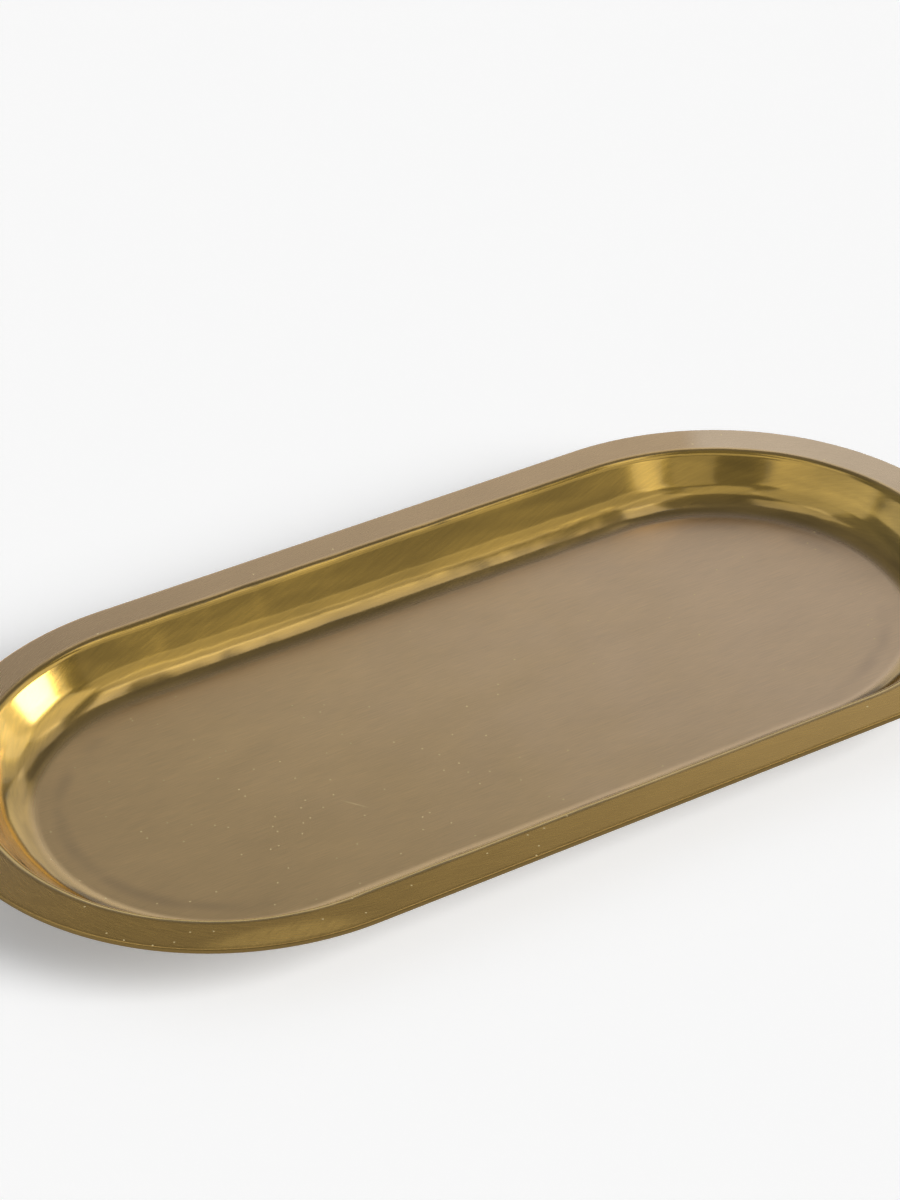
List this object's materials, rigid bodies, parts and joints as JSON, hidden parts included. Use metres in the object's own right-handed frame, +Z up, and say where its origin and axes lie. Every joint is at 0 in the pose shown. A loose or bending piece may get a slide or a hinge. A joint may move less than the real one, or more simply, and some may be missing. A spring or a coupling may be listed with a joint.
{
  "type": "towel tray",
  "caption": "Long shallow dish with half-round ends, a flat rim and a coved well, pressed from satin brass sheet, standing on soft pads, for guest towels beside a basin.",
  "frame": {"origin": "on the surface that the pads stand on, under the middle of the tray", "axes": "+X along the tray's long axis, +Y across it, +Z up out of the well"},
  "size_m": [0.3, 0.15, 0.0168],
  "materials": {
    "lacquered_brass": "rim and floor satin brushed, wall of the well polished, all under clear lacquer",
    "pad_rubber": "matt dark polyurethane"
  },
  "bodies": {
    "root": {"tray_body": "lacquered_brass", "foot_pad_front_left": "pad_rubber", "foot_pad_front_right": "pad_rubber", "foot_pad_rear_left": "pad_rubber", "foot_pad_rear_right": "pad_rubber"}
  },
  "joints": []
}
